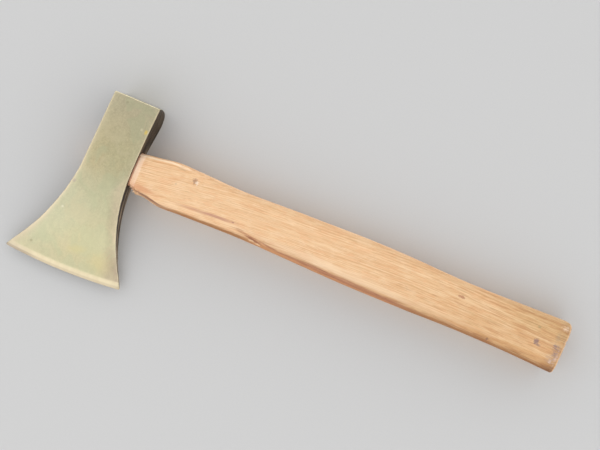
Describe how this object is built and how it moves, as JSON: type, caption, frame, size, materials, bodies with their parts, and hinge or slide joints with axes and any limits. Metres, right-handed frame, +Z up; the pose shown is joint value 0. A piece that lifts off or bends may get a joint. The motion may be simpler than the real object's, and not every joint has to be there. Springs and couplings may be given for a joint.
{
  "type": "hatchet",
  "caption": "Small hatchet with a flared cast bronze head, flat poll and wedged wooden handle, lying on its side.",
  "frame": {"origin": "middle of the base of the box, on the surface that the hatchet lies on", "axes": "+X along the handle from the head to the butt, +Y across the head towards the poll, +Z up from the surface, through the hatchet's thickness"},
  "size_m": [0.3982, 0.1368, 0.0292],
  "materials": {
    "bronze": "linished cast aluminium bronze, dull, with brown cast patina on the narrow sides",
    "handle_wood": "sanded pale hardwood, thin wax, straight fine grain",
    "wedge_wood": "dark hardwood, sawn end grain",
    "wedge_metal": "hammered brass end, dull"
  },
  "bodies": {
    "root": {"head": "bronze", "handle": "handle_wood", "kerf_wedge": "wedge_wood", "cross_wedge_poll_side": "wedge_metal", "cross_wedge_blade_side": "wedge_metal"}
  },
  "joints": []
}
